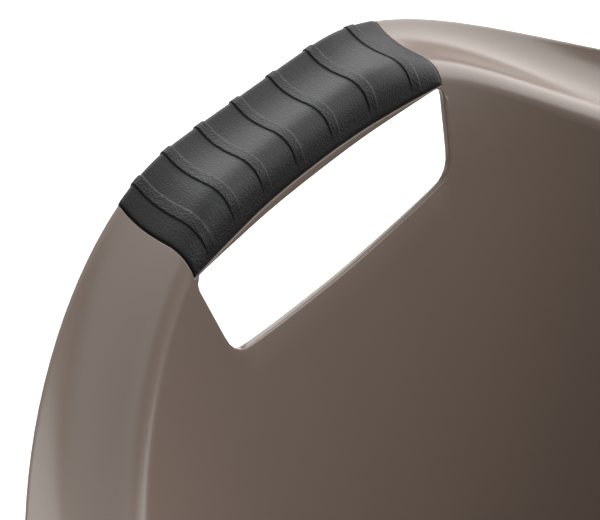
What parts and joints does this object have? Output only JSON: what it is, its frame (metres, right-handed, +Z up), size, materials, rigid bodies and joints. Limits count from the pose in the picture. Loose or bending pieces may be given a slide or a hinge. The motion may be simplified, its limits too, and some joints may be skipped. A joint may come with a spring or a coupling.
{
  "type": "laundry tub",
  "caption": "Laundry tub with flared walls, a broad rim that rises at both ends, a hand hole under each raised end and a ribbed soft grip moulded over the rim above it.",
  "frame": {"origin": "middle of the foot ring, on the surface the tub stands on", "axes": "+X along the tub's length towards the right-hand grip, +Y across it, +Z up"},
  "size_m": [0.648, 0.4786, 0.3006],
  "materials": {
    "tub_plastic": "glossy, moulded",
    "grip_rubber": "matt, finely textured"
  },
  "bodies": {
    "root": {"tub": "tub_plastic", "grip_left": "grip_rubber", "grip_right": "grip_rubber"}
  },
  "joints": []
}
